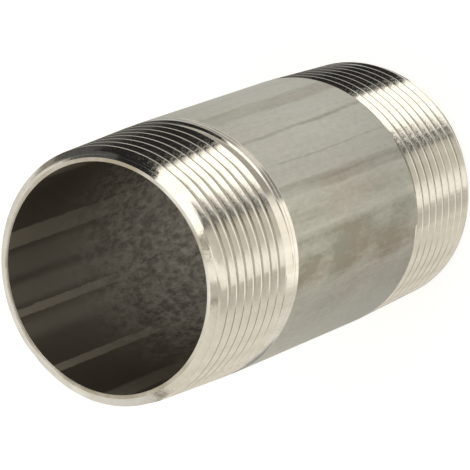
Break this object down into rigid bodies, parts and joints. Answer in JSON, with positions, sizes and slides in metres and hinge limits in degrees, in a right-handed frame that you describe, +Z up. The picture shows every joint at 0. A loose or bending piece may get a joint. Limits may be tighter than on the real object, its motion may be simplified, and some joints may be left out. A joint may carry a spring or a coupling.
{
  "type": "double nipple",
  "caption": "Short stainless pipe with a right-hand taper pipe thread on both ends and a plain middle, open right through, standing on one end.",
  "frame": {"origin": "on the axis, in the plane of the lower end face that it stands on", "axes": "+Z up along the pipe's axis; X and Y are across it, and the threads start at about +Y"},
  "size_m": [0.0424, 0.0424, 0.08],
  "materials": {
    "stainless_steel": "satin pickled pipe wall, bright machined threads and end faces"
  },
  "bodies": {
    "root": {"double_nipple": "stainless_steel"}
  },
  "joints": []
}
